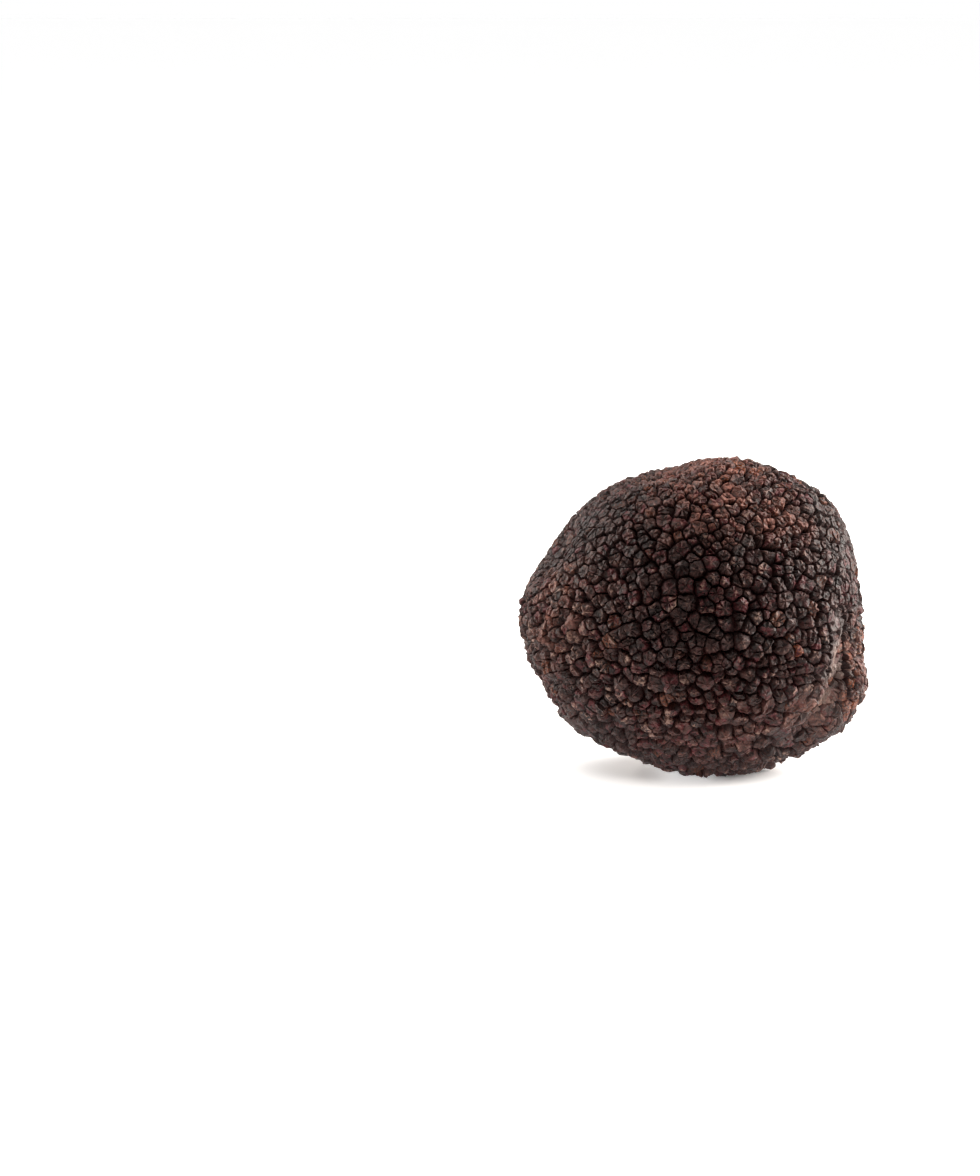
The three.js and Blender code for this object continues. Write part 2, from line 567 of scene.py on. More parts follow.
@dataclass
class Truffle:
    """The truffle's whole skin as one closed mesh of plates."""

    lump: Lump = field(default_factory=Lump)
    packing: Packing = field(default_factory=Packing)
    seed: int = 902
    step_round_plate: float = 0.42
    most_steps: int = 7
    least_depth: float = 0.55
    depth_spread: float = 0.85
    least_width: float = 0.45
    width_spread: float = 1.1
    sway_share: float = 0.1
    most_sway: float = 0.13
    deeper_corner: float = 1.12
    back_limits: tuple[float, float, float] = (0.06, 0.44, 0.7)
    wide_groove: float = 0.38
    groove_ripple: float = 0.03
    top_ripple: float = 0.08
    smooth_ripple: float = 0.19
    deep_below: float = -0.75
    kept_deep: float = 0.3
    swell_height: float = 0.12
    streak_height: float = 0.16
    # How dark a fissure's sides are painted as shade, from 0 to 1.
    fissure_wall_shade: float = 0.75
    clusters: int = 520
    cluster_rise: float = 0.47
    cluster_reach: float = 1.9
    ring_share: float = 0.42
    ring_stagger: float = 0.17
    roundness: float = 1.42
    top_rise: float = 0.16
    top_rise_per_radius: float = 0.12
    uneven_rise: float = 0.22
    lean: float = 0.46
    lobe_length: float = 1.1
    off_centre: float = 0.5
    sharp_angle: float = 17.0
    stretched: tuple[Zone, ...] = (
        Zone((0.83, -0.555, 0.03), 4, 0.95),
        Zone((0.83, -0.54, -0.12), 5, 1.15),
        Zone((0.82, -0.51, -0.27), 5.5, 1.15),
        Zone((0.77, -0.47, -0.43), 5.5, 0.9),
        Zone((0.6, -0.65, -0.47), 7, 0.76),
        Zone((0.69, -0.45, -0.57), 8, 0.7),
        Zone((0.5, -0.55, -0.66), 7, 0.55),
        Zone((0.75, -0.25, -0.6), 9, 0.5),
        Zone((-0.1, -0.5, -0.86), 14, 0.3),
        Zone((-0.75, -0.3, 0.6), 20, 0.38),
        Zone((-0.7, -0.2, -0.68), 20, 0.32),
        Zone((0.9, -0.2, 0.38), 17, 0.5),
        Zone((0.3, 0.85, 0.42), 14, 0.6),
        Zone((-0.75, 0.6, -0.25), 12, 0.6),
        Zone((-0.2, 0.2, -0.96), 12, 0.5),
    )
    pale: tuple[Zone, ...] = (
        Zone((0.83, -0.555, 0.03), 4, 0.9),
        Zone((0.835, -0.535, -0.12), 4.5, 1.15),
        Zone((0.825, -0.5, -0.27), 5, 1.1),
        Zone((0.75, -0.47, -0.46), 5, 0.45),
    )
    # Partly the skin's own copper and tan, partly painted light that brightens the crown and lower right.
    warm_and_lit: tuple[Zone, ...] = (
        Zone((0.1, -0.42, 0.9), 22, 1.1),
        Zone((0.05, -0.1, 0.99), 24, 0.85),
        Zone((0.45, -0.5, 0.74), 13, 0.75),
        Zone((-0.88, -0.45, 0.12), 18, 0.5),
        Zone((0.92, -0.34, -0.22), 10, 0.55),
        Zone((0.62, -0.61, -0.49), 8, 0.5),
        Zone((0.75, -0.4, -0.53), 12, 0.4),
        Zone((0.1, -0.75, -0.65), 24, 0.2),
    )
    stains: tuple[tuple[str, tuple[Zone, ...], float, float], ...] = (
        (
            "wine",
            (
                Zone((0.1, -0.5, 0.85), 40, 0.18),
                Zone((0.9, -0.4, 0.1), 25, 0.14),
                Zone((-0.1, -0.85, -0.5), 36, 0.2),
            ),
            0.5,
            1.05,
        ),
        (
            "rust",
            (
                Zone((0.6, -0.8, -0.06), 2.2, 1.0),
                Zone((0.23, -0.12, 0.97), 12, 0.25),
                Zone((0.94, -0.17, 0.3), 7, 0.3),
                Zone((0.9, -0.3, -0.25), 12, 0.22),
                Zone((-0.4, 0, 0.91), 16, 0.12),
            ),
            0.88,
            1.12,
        ),
        (
            "dust",
            (
                Zone((-0.84, -0.5, 0.12), 17, 0.5),
                Zone((-0.9, -0.38, 0.2), 9, 0.65),
                Zone((-0.6, -0.7, -0.3), 16, 0.2),
                Zone((0.2, -0.5, 0.84), 14, 0.2),
                Zone((0.43, -0.34, -0.84), 2, 1.0),
                Zone((0.51, -0.31, -0.8), 2, 1.0),
                Zone((0.88, -0.35, -0.3), 14, 0.35),
            ),
            0.7,
            1.1,
        ),
    )

    def build(self) -> bpy.types.Object:
        """Makes the mesh, its marks for the material and its object.

        Returns:
            The object, at the origin, with its place in its mesh.
        """
        self.plates = self.packing.plates(self.lump)
        self.cells = CellMap.of(self.lump, self.plates)
        self._lay_grooves()
        self._lay_spokes()
        points = self._points()
        obj = self._mesh_object(points)
        log.info("plates %d, warts %d", len(self.plates.radii), self.plates.wart.max() + 1)
        return obj

    def _lay_grooves(self) -> None:
        """Gives each groove its depth and half width, and its steps and their directions.

        A groove inside one wart is a crack, and one between two clusters of warts is a seam. One between the
        banks of a fissure is a fissure, or a seam where that fissure isn't deep. The rest are plain grooves. A
        cluster is all the plates nearest to one of a number of even random directions.
        """
        cells, plates = self.cells, self.plates
        draws = even_numbers(self.seed, 2 * self.clusters).reshape(-1, 2)
        cluster = np.argmax(plates.directions @ even_directions(draws).T, axis=1)
        self.cluster = cluster
        one, two = cells.plate, cells.other
        crack, plain, seam, fissure = range(len(Groove))
        kind = np.where(cluster[one] != cluster[two], seam, plain)
        kind = np.where(plates.wart[one] == plates.wart[two], crack, kind)
        facing = (plates.bank[one] != 0) & (plates.bank[one] == -plates.bank[two])
        deep = np.array([False] + [line.deep for line in self.packing.fissures])
        kind = np.where(facing, np.where(deep[np.abs(plates.bank[one])], fissure, seam), kind)
        table = np.array([groove.value for groove in Groove])[kind]
        main = np.flatnonzero(one < two)
        self.is_fissure = kind[main] == fissure
        self.groove_of = np.zeros(len(one), np.int64)
        self.groove_of[main] = np.arange(len(main))
        self.groove_of[cells.twin[main]] = np.arange(len(main))
        draws = even_numbers(self.seed + 1, 2 * len(main)).reshape(-1, 2)
        groove_depth = table[main, 0] * (self.least_depth + self.depth_spread * draws[:, 0])
        self.groove_width = table[main, 1] * (self.least_width + self.width_spread * draws[:, 1])
        start = cells.corners[cells.begin[main]]
        stop = cells.corners[cells.end[main]]
        run = self.lump.surface(stop) - self.lump.surface(start)
        length = np.linalg.norm(run, axis=1)
        steps = np.clip(np.round(length / self.step_round_plate), 1, self.most_steps)
        self.steps = steps.astype(np.int64)
        inner = self.steps - 1
        groove = np.repeat(np.arange(len(main)), inner)
        self.first_inner = np.cumsum(inner) - inner
        place = np.arange(len(groove)) - self.first_inner[groove] + 1
        share = (place / self.steps[groove])[:, None]
        between = unit((1 - share) * start[groove] + share * stop[groove])
        sideways = unit(np.cross(between, stop[groove] - start[groove] + 1e-9))
        sway = 2 * even_numbers(self.seed + 2, len(groove)) - 1
        reach = np.minimum(self.sway_share * length[groove], self.most_sway) / MEAN_RADIUS
        between = unit(between + (sway * reach)[:, None] * sideways)
        self.rim_directions = np.vstack([cells.corners, between])
        depth = np.zeros(len(cells.corners))
        count = np.zeros(len(cells.corners))
        for ends in (cells.begin[main], cells.end[main]):
            np.add.at(depth, ends, groove_depth)
            np.add.at(count, ends, 1)
        self.bottom_depth = np.concatenate([self.deeper_corner * depth / count, groove_depth[groove]])

    def _lay_spokes(self) -> None:
        """Lays one spoke from each groove point to the middle of each plate that it borders.

        The spokes of a side are numbered in order, so the next spoke round the plate is the next number, or
        the first of the side that follows.
        """
        cells = self.cells
        steps = self.steps[self.groove_of]
        first = np.cumsum(steps) - steps
        side = np.repeat(np.arange(len(steps)), steps)
        place = np.arange(len(side)) - first[side]
        groove = self.groove_of[side]
        forward = cells.plate[side] < cells.other[side]
        inner = np.where(forward, place - 1, steps[side] - 1 - place)
        inner = len(cells.corners) + self.first_inner[groove] + inner
        self.spoke_rim = np.where(place == 0, cells.begin[side], inner)
        last = place == steps[side] - 1
        self.spoke_next = np.where(last, first[cells.following[side]], np.arange(len(side)) + 1)
        self.spoke_plate = cells.plate[side]
        before = np.zeros(len(side), np.int64)
        before[self.spoke_next] = np.arange(len(side))
        width = self.groove_width[groove]
        self.spoke_width = np.where(place == 0, (width + width[before]) / 2, width)
        self.on_fissure = self.is_fissure[groove] | (self.is_fissure[groove[before]] & (place == 0))

    def _points(self) -> Array:
        """The place of every vertex, in millimetres on the lump.

        The vertices come in four runs: groove points, rims, inner rings and middles. A rim stands back from
        its groove by the groove's half width, and is rounded off where the plate has a corner. The inner
        ring's vertices lie nearer to the rim and nearer to the middle by turns. On stretched skin the plates
        fade into fine creases and upright streaks. Each cluster of plates stands up as a low cone. A vertex
        is moved along its own direction by its height, after the bare body is pressed flat at the foot.

        Returns:
            Rows of points.
        """
        lump, count = self.lump, len(self.plates.radii)
        plate = self.spoke_plate
        outer = self.rim_directions[self.spoke_rim]
        middle = np.zeros((count, 3))
        np.add.at(middle, plate, outer)
        middle = self._off_centre(unit(middle), outer)
        draws = even_numbers(self.seed + 7, 4 * len(plate)).reshape(-1, 4)
        reach = np.linalg.norm(lump.surface(middle), axis=1)[plate]
        far = np.linalg.norm(outer - middle[plate], axis=1) * reach
        inradius = np.full(count, np.inf)
        np.minimum.at(inradius, plate, far)
        mean = np.bincount(plate, far, count) / np.bincount(plate, minlength=count)
        back = self.spoke_width * (0.8 + 0.5 * draws[:, 0]) / inradius[plate]
        least, most_back, most_wide = self.back_limits
        back = np.clip(back, least, np.where(self.spoke_width > self.wide_groove, most_wide, most_back))
        limit = self.roundness * mean[plate] * (1 - 0.5 * back)
        rim_far = ((far * (1 - back)) ** -8.0 + limit**-8.0) ** (-1 / 8)
        rim_share = 1 - rim_far / far
        in_turn = 2 * (np.arange(len(plate)) % 2) - 1
        inward = self.ring_share + self.ring_stagger * in_turn + 0.14 * (draws[:, 1] - 0.5)
        ring_share = rim_share + (1 - rim_share) * inward
        rim_out = unit(outer + rim_share[:, None] * (middle[plate] - outer))
        ring_out = unit(outer + ring_share[:, None] * (middle[plate] - outer))
        tops = self._tops(middle, outer - middle[plate], rim_far, inradius, inward, draws[:, 2:])
        directions = np.vstack([self.rim_directions, rim_out, ring_out, middle])
        height = np.concatenate([-self.bottom_depth, *tops])
        base = lump.surface(directions)
        fine = 1 - 2 * np.abs(Ripples(self.seed + 5, 0.9, 2.6).at(base))
        broad = Ripples(self.seed + 6, 5, 12).at(base)
        streaks = Ripples(self.seed + 8, 0.9, 2).at(base * np.array([1, 1, 0.2]))
        bare = np.arange(len(height)) < len(self.rim_directions)
        smooth = most(self.stretched, directions)
        flattened = np.where(height < self.deep_below, self.kept_deep, 1) * smooth
        ripple = np.where(bare, self.groove_ripple, self.top_ripple) - self.smooth_ripple * smooth
        self.relief = height * (1 - flattened) + ripple * fine
        self.directions = directions
        raised = self._cluster_rise(middle, directions) * (1 - smooth)
        height = self.relief + raised + self.swell_height * broad + self.streak_height * smooth * streaks
        return lump.pressed(lump.pressed(base) + directions * height[:, None])

    def _cluster_rise(self, middle: Array, directions: Array) -> Array:
        """How far each vertex is raised or lowered because its cluster of plates stands up as one low cone.

        The cone falls from the cluster's middle in proportion to the distance. A groove point takes the
        lowest cone of the plates that meet there.

        Args:
            middle: the direction of each plate's middle.
            directions: the direction of every vertex, in the order of the four runs.

        Returns:
            The heights, in millimetres.
        """
        heart = np.zeros((self.clusters, 3))
        np.add.at(heart, self.cluster, middle)
        heart = unit(heart[self.cluster])
        tall = self.cluster_rise * (0.3 + 0.7 * self._craggy(middle))

        def cone(points: Array, owner: Array) -> Array:
            """The height at each point of the cone of its owner's cluster."""
            away = MEAN_RADIUS * np.linalg.norm(points - heart[owner], axis=1)
            return tall[owner] * (0.67 - np.minimum(away / self.cluster_reach, 1.4))

        bottoms, plate = len(self.rim_directions), self.spoke_plate
        low = np.full(bottoms, np.inf)
        np.minimum.at(low, self.spoke_rim, cone(self.rim_directions[self.spoke_rim], plate))
        owner = np.concatenate([plate, plate, np.arange(len(middle))])
        return np.concatenate([low, cone(directions[bottoms:], owner)])

    @staticmethod
    def _craggy(directions: Array) -> Array:
        """How craggy the skin is at each direction, from 0 high on the body to 1 low on it."""
        return smoothstep(-directions[:, 2], -0.5, 0.3)

    def _off_centre(self, middle: Array, outer: Array) -> Array:
        """Moves each plate's middle off its centre, by up to a share of the way to its nearest groove point.

        Args:
            middle: the direction of each plate's centre.
            outer: the direction of each spoke's groove point.

        Returns:
            The directions where the plates' pits and peaks stand.
        """
        near = np.full(len(middle), np.inf)
        np.minimum.at(near, self.spoke_plate, np.linalg.norm(outer - middle[self.spoke_plate], axis=1))
        draws = even_numbers(self.seed + 9, 2 * len(middle)).reshape(-1, 2)
        first, second = tangents(middle)
        turn = 2 * np.pi * draws[:, :1]
        step = self.off_centre * draws[:, 1:] * near[:, None]
        return unit(middle + step * (np.cos(turn) * first + np.sin(turn) * second))

    def _tops(
        self, middle: Array, offset: Array, rim_far: Array, inradius: Array, inward: Array, draws: Array
    ) -> tuple[Array, Array, Array]:
        """How far the rims, inner rings and middles stand above the bare body.

        Each plate has its own height and leans its own way. Clefts run in from its rim and part it into
        lobes, where the height falls by (1 - |sin(half the number of lobes times the turn)|) squared. On some
        of the low, craggy plates they are ridges. The middle is a pit or a peak, which fades by the square of
        the share of the way in.

        Args:
            middle: the direction of each plate's middle.
            offset: from that middle to each spoke's groove point.
            rim_far: how far each rim lies from the middle, in millimetres.
            inradius: how far each plate's nearest groove point lies from its middle.
            inward: how far in each inner vertex lies, from 0 at the rim to 1 at the middle.
            draws: two random numbers for each spoke.

        Returns:
            The heights of the rims, the inner rings and the middles, in millimetres.
        """
        count, plate = len(middle), self.spoke_plate
        own = even_numbers(self.seed + 3, 8 * count).reshape(count, 8)
        first, second = tangents(middle)
        along = np.einsum("ij,ij->i", offset, first[plate])
        across = np.einsum("ij,ij->i", offset, second[plate])
        turn = np.arctan2(across, along)
        size = np.clip(inradius / 0.9, 0.3, 1.2)
        lobes = np.round(2 * np.pi * inradius / self.lobe_length * (0.7 + 0.6 * own[:, 0]))[plate]
        swing = lobes * turn / 2 + np.pi * own[plate, 1] + 0.5 * (draws[:, 0] - 0.5)
        cleft = (1 - np.abs(np.sin(swing))) ** 2 * size[plate] * (0.4 + 0.9 * own[plate, 7])
        craggy = self._craggy(middle)
        rough = 0.5 + 0.5 * craggy
        lean = self.lean * (own[:, 2:4] - 0.5) * rough[:, None]
        leaning = lean[plate, 0] * np.cos(turn) + lean[plate, 1] * np.sin(turn)
        rise = self.top_rise + self.top_rise_per_radius * self.plates.radii
        rise = rise + self.uneven_rise * (own[:, 4] - 0.5) * rough
        pit = own[:, 5] < 0.6 - 0.25 * craggy
        crown = np.where(pit, -0.14 - 0.24 * own[:, 6], 0.04 + (0.2 + 0.1 * craggy) * own[:, 6]) * size
        shoulder = (0.03 + (0.14 + 0.1 * craggy) * own[:, 6] * own[:, 0]) * size
        ridged = (own[:, 1] < 0.5 * craggy)[plate]
        cleft = np.where(ridged, -0.7, 1) * cleft
        flute = 2 * draws[:, 1] - 1
        rim = (rise - shoulder)[plate] + leaning * rim_far - 0.2 * cleft + 0.04 * flute
        near = 1 - inward
        ring = rise[plate] - shoulder[plate] * near**2 + crown[plate] * inward**2
        ring = ring + leaning * rim_far * near - 0.36 * cleft + 0.12 * flute
        return rim, ring, rise + crown

    def _faces(self) -> tuple[Array, Array]:
        """The wall and shoulder quads of every spoke, and the triangles round every middle.

        Returns:
            Rows of four vertex numbers, and rows of three.
        """
        rims = len(self.rim_directions)
        spokes = len(self.spoke_rim)
        here, after = np.arange(spokes), self.spoke_next
        rim, ring, middle = rims, rims + spokes, rims + 2 * spokes
        wall = [self.spoke_rim, self.spoke_rim[after], rim + after, rim + here]
        shoulder = [rim + here, rim + after, ring + after, ring + here]
        quads = np.vstack([np.stack(wall, axis=1), np.stack(shoulder, axis=1)])
        top = np.stack([ring + here, ring + after, middle + self.spoke_plate], axis=1)
        return quads, top

    def _mesh_object(self, points: Array) -> bpy.types.Object:
        """Puts the points and faces into a mesh, with the marks that the material reads.

        Args:
            points: the place of each vertex, in millimetres on the lump.

        Returns:
            The object that holds it.
        """
        quads, top = self._faces()
        mesh = bpy.data.meshes.new("truffle_skin")
        mesh.vertices.add(len(points))
        mesh.vertices.foreach_set("co", self.lump.in_row(points).astype(np.float32).ravel())
        loops = np.concatenate([quads.ravel(), top.ravel()]).astype(np.int32)
        starts = np.concatenate(
            [4 * np.arange(len(quads)), 4 * len(quads) + 3 * np.arange(len(top))]
        )
        mesh.loops.add(len(loops))
        mesh.loops.foreach_set("vertex_index", loops)
        mesh.polygons.add(len(starts))
        mesh.polygons.foreach_set("loop_start", starts.astype(np.int32))
        mesh.update(calc_edges=True)
        mesh.validate()
        mesh.shade_smooth()
        mesh.set_sharp_from_angle(angle=math.radians(self.sharp_angle))
        for name, values in self._marks().items():
            mark = mesh.attributes.new(name, "FLOAT", "POINT")
            mark.data.foreach_set("value", values.astype(np.float32))
        obj = bpy.data.objects.new("truffle_warty_skin", mesh)
        bpy.context.scene.collection.objects.link(obj)
        log.info("%s: %d triangles", obj.name, 2 * len(quads) + len(top))
        return obj

    def _marks(self) -> dict[str, Array]:
        """What the material reads at each vertex, from 0 to 1.

        groove is 1 at the bottom of a groove and falls to 0 on the tops, and stays high up the sides of a
        fissure. It is painted shade: the material darkens the grooves and the fissure's sides with it. crest
        is
        1 where a vertex stands above its plate, and the material paints highlights on the crests with it.
        shade, wine, rust and dust are one draw for each plate. The last three and warm are weighed by where on
        the body it lies. warm sets a copper tint that is partly the skin's own colour and partly painted
        light, which brightens the crown and the lower right. grey is the fold's band.

        Returns:
            The values by name, one for each vertex.
        """
        count, plate = len(self.plates.radii), self.spoke_plate
        bottoms = len(self.rim_directions)
        of_bottom = np.zeros(bottoms, np.int64)
        of_bottom[self.spoke_rim] = plate
        owner = np.concatenate([of_bottom, plate, plate, np.arange(count)])
        top = np.arange(len(owner)) >= bottoms
        total = np.bincount(owner[top], self.relief[top], count)
        level = (total / np.bincount(owner[top], minlength=count))[owner]
        draws = even_numbers(self.seed + 4, 4 * count).reshape(count, 4)
        stains = {
            name: smoothstep(draws[:, k] + most(zones, self.plates.directions), low, high)
            for k, (name, zones, low, high) in enumerate(self.stains)
        }
        smooth = most(self.stretched, self.directions)
        # Painted shade up a fissure's sides, so that the crack reads dark.
        painted_wall_shade = np.zeros(len(owner))
        painted_wall_shade[bottoms : bottoms + len(plate)] = self.fissure_wall_shade * self.on_fissure
        # Copper tint, partly own colour and partly painted light, stronger on the lighter plates.
        warm_and_lit = most(self.warm_and_lit, self.directions) * (0.35 + 1.3 * draws[owner, 3])
        return {
            # Painted shade: 1 at the bottom of the grooves, falling to 0 on the tops.
            "groove": np.maximum(1 - smoothstep(self.relief, -0.34, 0.12), painted_wall_shade),
            # Painted highlight: the crests that stand above their plate, which the material lightens.
            "crest_highlight": np.where(top, smoothstep(self.relief - level, 0.0, 0.16), 0) * (1 - smooth),
            "grey": most(self.pale, self.directions),
            "warm_and_lit": np.minimum(warm_and_lit, 1),
            "shade": draws[owner, 3] + (0.5 - draws[owner, 3]) * smooth,
            **{name: values[owner] * (1 - 0.7 * smooth) for name, values in stains.items()},
        }


class NodeDesk:
    """Adds nodes to one material's tree and joins them."""

    def __init__(self, name: str) -> None:
        """Makes a material of that name with an empty tree."""
        self.material = bpy.data.materials.new(name)
        self.material.use_nodes = True
        self.tree = self.material.node_tree
        self.tree.nodes.clear()

    def node(
        self, kind: str, inputs: dict[str | int, object] | None = None, **settings: object
    ) -> bpy.types.Node:
        """Adds a node.

        Args:
            kind: the node's type name.
            inputs: what goes into its sockets: a value, or another node's output.
            settings: its own properties.

        Returns:
            The node.
        """
        made = self.tree.nodes.new(kind)
        for name, value in settings.items():
            setattr(made, name, value)
        for socket, value in (inputs or {}).items():
            if isinstance(value, bpy.types.NodeSocket):
                self.tree.links.new(value, made.inputs[socket])
            else:
                made.inputs[socket].default_value = value
        return made

    def mark(self, name: str) -> bpy.types.NodeSocket:
        """The piece's own attribute of that name."""
        return self.node("ShaderNodeAttribute", attribute_name=name).outputs["Fac"]

    def noise(self, place: bpy.types.NodeSocket, size: float, detail: float = 3.0) -> bpy.types.NodeSocket:
        """Noise with blotches about size metres across."""
        values = {"Vector": place, "Scale": 1 / size, "Detail": detail, "Roughness": 0.6}
        return self.node("ShaderNodeTexNoise", values).outputs["Fac"]

    def mix(
        self, share: bpy.types.NodeSocket | float, low: object, high: object, blend: str = "MIX"
    ) -> bpy.types.NodeSocket:
        """A colour between low and high."""
        made = self.node("ShaderNodeMix", data_type="RGBA", blend_type=blend)
        for socket, value in ((0, share), (6, low), (7, high)):
            if isinstance(value, bpy.types.NodeSocket):
                self.tree.links.new(value, made.inputs[socket])
            else:
                made.inputs[socket].default_value = value
        return made.outputs[2]

    def maths(self, operation: str, *values: bpy.types.NodeSocket | float) -> bpy.types.NodeSocket:
        """One sum on one, two or three values."""
        return self.node("ShaderNodeMath", dict(enumerate(values)), operation=operation).outputs[0]

    def ramp(
        self, value: bpy.types.NodeSocket, low: float, high: float, to_low: float = 0.0, to_high: float = 1.0
    ) -> bpy.types.NodeSocket:
        """The value carried from one range to another, and held at its ends."""
        inputs = {"Value": value, "From Min": low, "From Max": high, "To Min": to_low, "To Max": to_high}
        return self.node("ShaderNodeMapRange", inputs, interpolation_type="SMOOTHSTEP").outputs[0]


Colour = tuple[float, float, float, float]


@dataclass(frozen=True)
class SkinFinish:
    """The truffle's dry skin.

    The plates are brown-black, with wine and rust stains. The grooves are painted near-black as shade.
    The crests are lighter, with tan flecks, partly dust and partly painted highlight. The crown and some
    other zones have a copper tint, which is partly their own colour and partly painted light that brightens
    them.
    Lengths are in metres.
    """

    name: str = "truffle_skin"
    darkest: Colour = (0.0105, 0.0038, 0.0036, 1)
    lightest: Colour = (0.088, 0.0385, 0.034, 1)
    wine: Colour = (0.125, 0.018, 0.024, 1)
    rust: Colour = (0.33, 0.085, 0.023, 1)
    # Tan of the dust flecks, also the colour of the painted highlights on the crests.
    dust: Colour = (0.37, 0.23, 0.18, 1)
    grey: Colour = (0.19, 0.15, 0.144, 1)
    # Painted shade: the near-black put in the grooves and up a fissure's sides.
    groove: Colour = (0.019, 0.0017, 0.0014, 1)
    # Partly the skin's copper, partly painted light: it brightens the tinted zones several times.
    copper_and_light_tint: Colour = (4.6, 4.1, 3.3, 1)
    gloss: float = 0.32
    patch: float = 0.004
    blotch: float = 0.0011
    streak: float = 0.0005
    grain: float = 0.00038
    crumb: float = 0.00014
    bump_height: float = 0.00016

    def material(self) -> bpy.types.Material:
        """Builds the material.

        Returns:
            The material, from the piece's marks and its Object coordinates.
        """
        desk = NodeDesk(self.name)
        place = desk.node("ShaderNodeTexCoord").outputs["Object"]
        patch = desk.noise(place, self.patch)
        blotch = desk.noise(place, self.blotch)
        grain = desk.noise(place, self.grain)
        crumb = desk.noise(place, self.crumb, 2.0)
        crest_highlight = desk.mark("crest_highlight")
        shade = desk.maths("MULTIPLY_ADD", desk.mark("shade"), 0.2, desk.ramp(blotch, 0.3, 0.7, 0, 0.3))
        shade = desk.maths("ADD", shade, desk.ramp(grain, 0.3, 0.7, -0.1, 0.35))
        shade = desk.maths("ADD", shade, desk.ramp(patch, 0.35, 0.65, -0.1, 0.1))
        # Painted highlight: the crests are made lighter.
        shade = desk.maths("MULTIPLY_ADD", crest_highlight, 0.3, shade)
        colour = desk.mix(desk.ramp(shade, 0.05, 1.0), self.darkest, self.lightest)
        upright = desk.node("ShaderNodeVectorMath", {0: place, 1: (1, 1, 0.2)}, operation="MULTIPLY")
        streak = desk.noise(upright.outputs[0], self.streak)
        grey = desk.maths("MULTIPLY", desk.mark("grey"), desk.ramp(streak, 0.34, 0.56, 0.1, 1.0))
        colour = desk.mix(grey, colour, self.grey)
        # Copper tint, partly the skin's own colour and partly painted light on the crown and lower right.
        colour = desk.mix(desk.mark("warm_and_lit"), colour, self.copper_and_light_tint, "MULTIPLY")
        wine = desk.maths("MULTIPLY", desk.mark("wine"), desk.ramp(blotch, 0.46, 0.62, 0.0, 0.8))
        colour = desk.mix(wine, colour, self.wine)
        rust = desk.maths("MULTIPLY", desk.mark("rust"), desk.ramp(grain, 0.42, 0.6, 0.0, 0.9))
        colour = desk.mix(rust, colour, self.rust)
        # Tan flecks: dust, and painted highlight on the crests.
        dust_and_highlight = desk.maths("ADD", desk.maths("MULTIPLY", grain, 0.45), desk.maths("MULTIPLY", blotch, 0.55))
        dust_and_highlight = desk.maths("MULTIPLY_ADD", desk.mark("dust"), 0.11, dust_and_highlight)
        dust_and_highlight = desk.ramp(desk.maths("MULTIPLY_ADD", crest_highlight, 0.13, dust_and_highlight), 0.64, 0.78, 0.0, 0.85)
        colour = desk.mix(dust_and_highlight, colour, self.dust)
        # Painted shade: the grooves and a fissure's sides go near-black.
        colour = desk.mix(desk.ramp(desk.mark("groove"), 0.2, 0.95), colour, self.groove)
        height = desk.maths("MULTIPLY_ADD", crumb, 0.4, grain)
        bump = desk.node("ShaderNodeBump", {"Strength": 1.0, "Distance": self.bump_height, "Height": height})
        inputs = {
            "Base Color": colour,
            "Roughness": desk.ramp(grain, 0.3, 0.7, 0.36, 0.66),
            "Specular IOR Level": self.gloss,
            "Normal": bump.outputs[0],
        }
        shader = desk.node("ShaderNodeBsdfPrincipled", inputs)
        desk.node("ShaderNodeOutputMaterial", {"Surface": shader.outputs[0]})
        return desk.material


